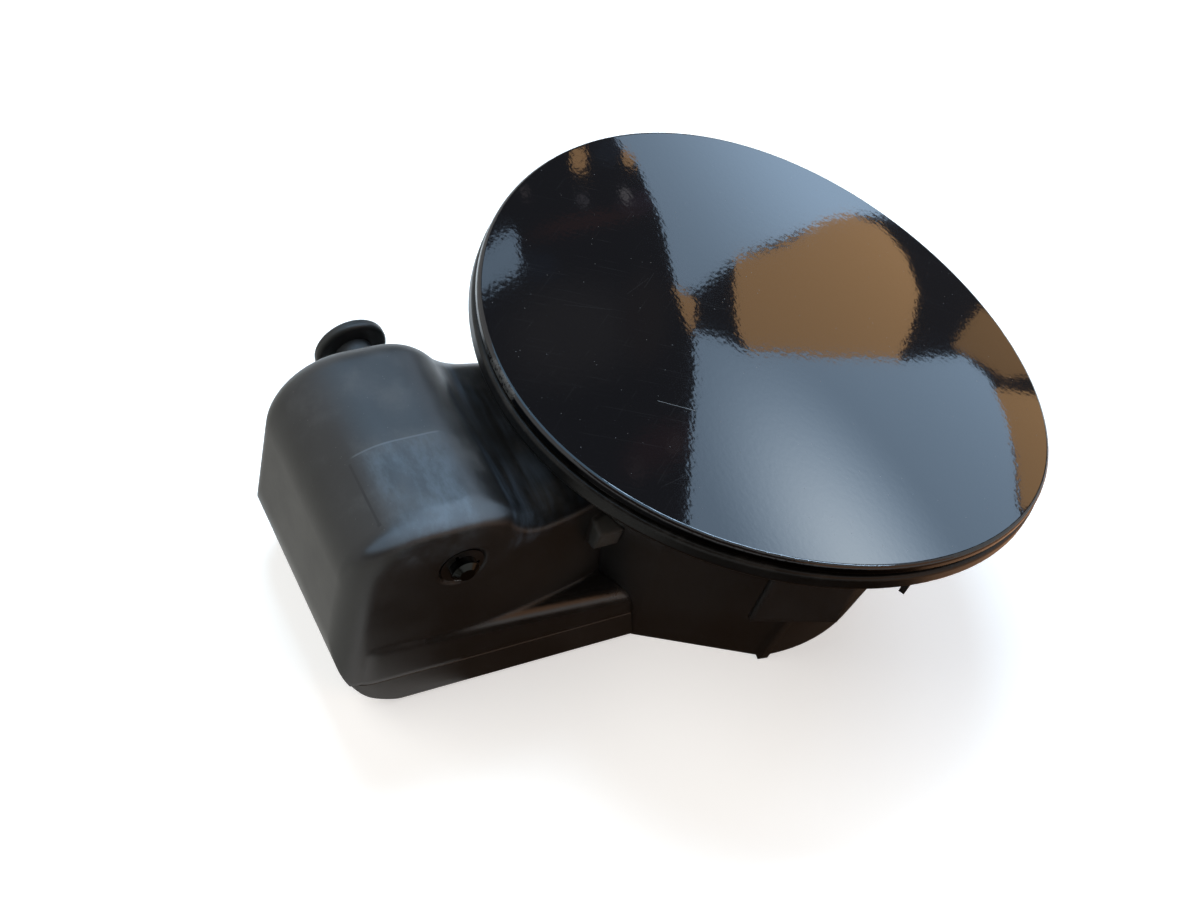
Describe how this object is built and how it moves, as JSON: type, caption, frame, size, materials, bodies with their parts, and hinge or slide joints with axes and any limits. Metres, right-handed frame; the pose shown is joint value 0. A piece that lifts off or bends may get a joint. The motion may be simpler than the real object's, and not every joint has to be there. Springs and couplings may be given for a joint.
{
  "type": "car fuel door",
  "caption": "Round gloss-black car fuel door on a gooseneck hinge arm, with its black plastic filler bowl, deep hinge box, closing spring, neck seal and lock bush.",
  "frame": {"origin": "on the housing's back plane at the axis of the filler neck hole", "axes": "+Z out of the car body through the door, +X from the hinge towards the door's free edge, +Y along the hinge pin towards its mushroom head"},
  "size_m": [0.2145, 0.1658, 0.0832],
  "materials": {
    "panel_paint": "black paint under clear lacquer, glossy, with fine scratches",
    "carrier_plastic": "satin black moulding",
    "arm_plastic": "satin black moulding",
    "housing_plastic": "satin black moulding, dusty and lightly scuffed",
    "cover_plastic": "satin black moulding",
    "seal_rubber": "matt",
    "buffer_rubber": "matt",
    "bush_plastic": "smooth",
    "pin_steel": "blackened, bright at its near end",
    "spring_steel": "oiled",
    "sleeve_steel": "zinc plated",
    "screw_steel": "zinc plated"
  },
  "bodies": {
    "housing": {"housing": "housing_plastic", "hinge_box": "housing_plastic", "hinge_box_cover": "cover_plastic", "cover_screw_1": "screw_steel", "cover_screw_2": "screw_steel", "cover_screw_3": "screw_steel", "cover_screw_4": "screw_steel", "filler_seal": "seal_rubber", "lock_guide": "bush_plastic", "buffer_far": "buffer_rubber", "buffer_near": "buffer_rubber", "hinge_pin": "pin_steel", "pin_retainer": "spring_steel", "door_spring": "spring_steel", "fixing_sleeve_far": "sleeve_steel", "fixing_sleeve_near": "sleeve_steel"},
    "door": {"door_panel": "panel_paint", "door_carrier": "carrier_plastic", "hinge_arm": "arm_plastic", "arm_screw_1": "screw_steel", "arm_screw_2": "screw_steel", "arm_screw_3": "screw_steel", "arm_screw_4": "screw_steel"}
  },
  "joints": [
    {"name": "door_hinge", "type": "hinge", "parent": "housing", "child": "door", "pos_m": [-0.1, 0, 0.054], "axis": [0, -1, 0], "range_deg": [0, 80], "stiffness_Nm_per_rad": 0.12, "springref_deg": -20.05, "deforming": ["door_spring"]}
  ]
}
